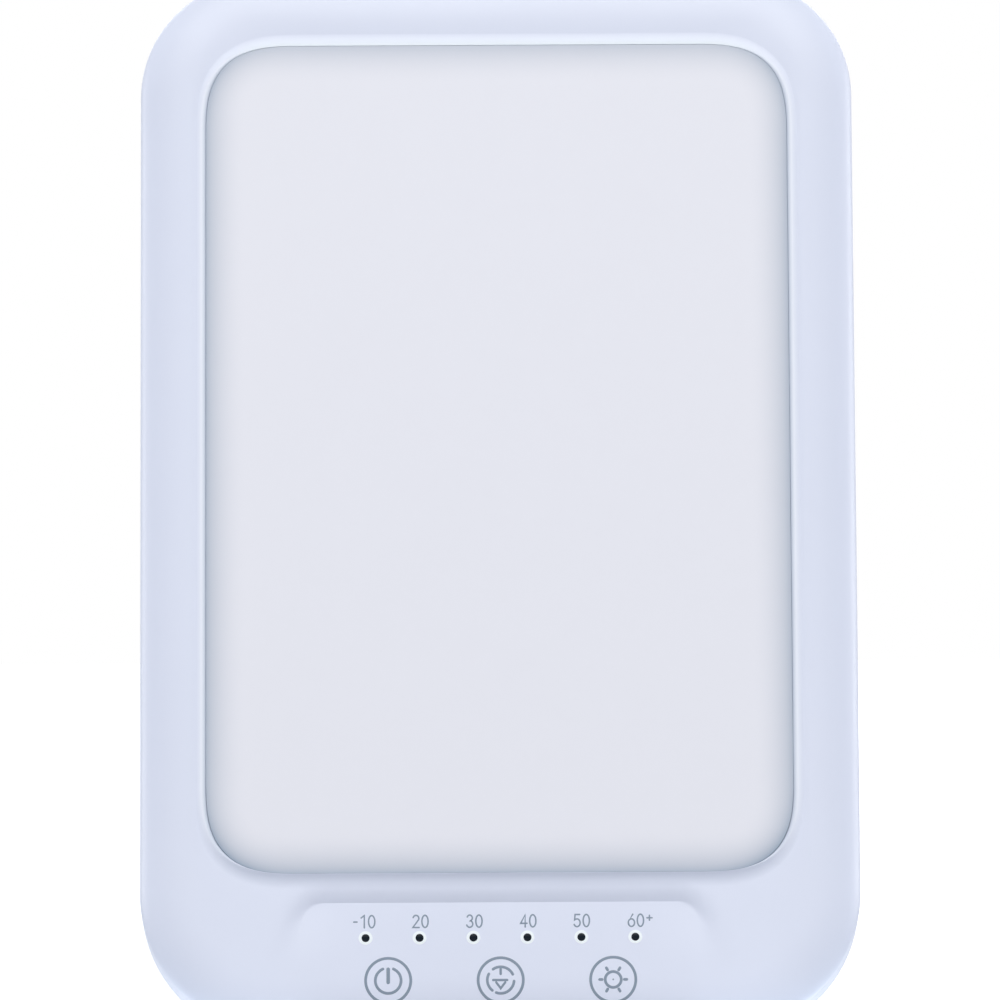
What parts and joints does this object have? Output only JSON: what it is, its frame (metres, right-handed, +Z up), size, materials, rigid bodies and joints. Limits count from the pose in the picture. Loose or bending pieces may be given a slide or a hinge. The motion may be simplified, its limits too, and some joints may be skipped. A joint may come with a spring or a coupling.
{
  "type": "light therapy lamp",
  "caption": "Thin upright light panel with an opal diffuser window, touch keys under it and a fold-out rear leg that lets it lean back on a table.",
  "frame": {"origin": "middle of the bounding box's underside, on the surface it stands on, with the leg opened out", "axes": "+Z up, -Y towards the person in front of the lamp, X across"},
  "size_m": [0.16, 0.0774, 0.239],
  "materials": {
    "shell": "fine satin moulded plastic, pale lavender white",
    "opal": "opal diffusing acrylic, satin",
    "clear_acrylic": "clear, polished",
    "film": "white film",
    "foam": "dark closed-cell foam",
    "tray": "bare sheet",
    "led": "phosphor yellow",
    "circuit": "solder-masked laminate",
    "strip": "white solder mask",
    "component": "moulded black",
    "connector": "natural nylon",
    "lead": "insulated wire",
    "lens": "dark tinted, polished",
    "steel": "zinc-plated",
    "brass": "plated contact",
    "foot_rubber": "soft grey, matt",
    "ink": "blue-grey printed ink",
    "white_ink": "white printed ink"
  },
  "bodies": {
    "panel": {"front_bezel": "shell", "back_cover": "shell", "diffuser_panel": "opal", "diffuser_gasket": "foam", "diffusion_film": "film", "light_guide_plate": "clear_acrylic", "reflector_sheet": "film", "led_tray": "tray", "led_strip_left": "strip", "led_strip_right": "strip", "led_chips": "led", "led_leads": "lead", "led_connectors": "connector", "control_board": "circuit", "touch_pads": "foam", "indicator_leds": "led", "indicator_lens_strip": "lens", "control_chip": "component", "driver_inductor": "component", "driver_capacitors": "component", "dc_inlet": "component", "dc_inlet_pin": "brass", "tray_screws": "steel", "board_screws": "steel", "housing_screws": "steel", "base_feet": "foot_rubber", "hinge_pin": "steel", "friction_washers": "steel"},
    "leg": {"kickstand_leg": "shell", "kickstand_foot": "foot_rubber"}
  },
  "joints": [
    {"name": "leg_fold", "type": "hinge", "parent": "panel", "child": "leg", "pos_m": [0, -0.01035, 0.05531], "axis": [1, 0, 0], "range_deg": [0, 128]}
  ]
}
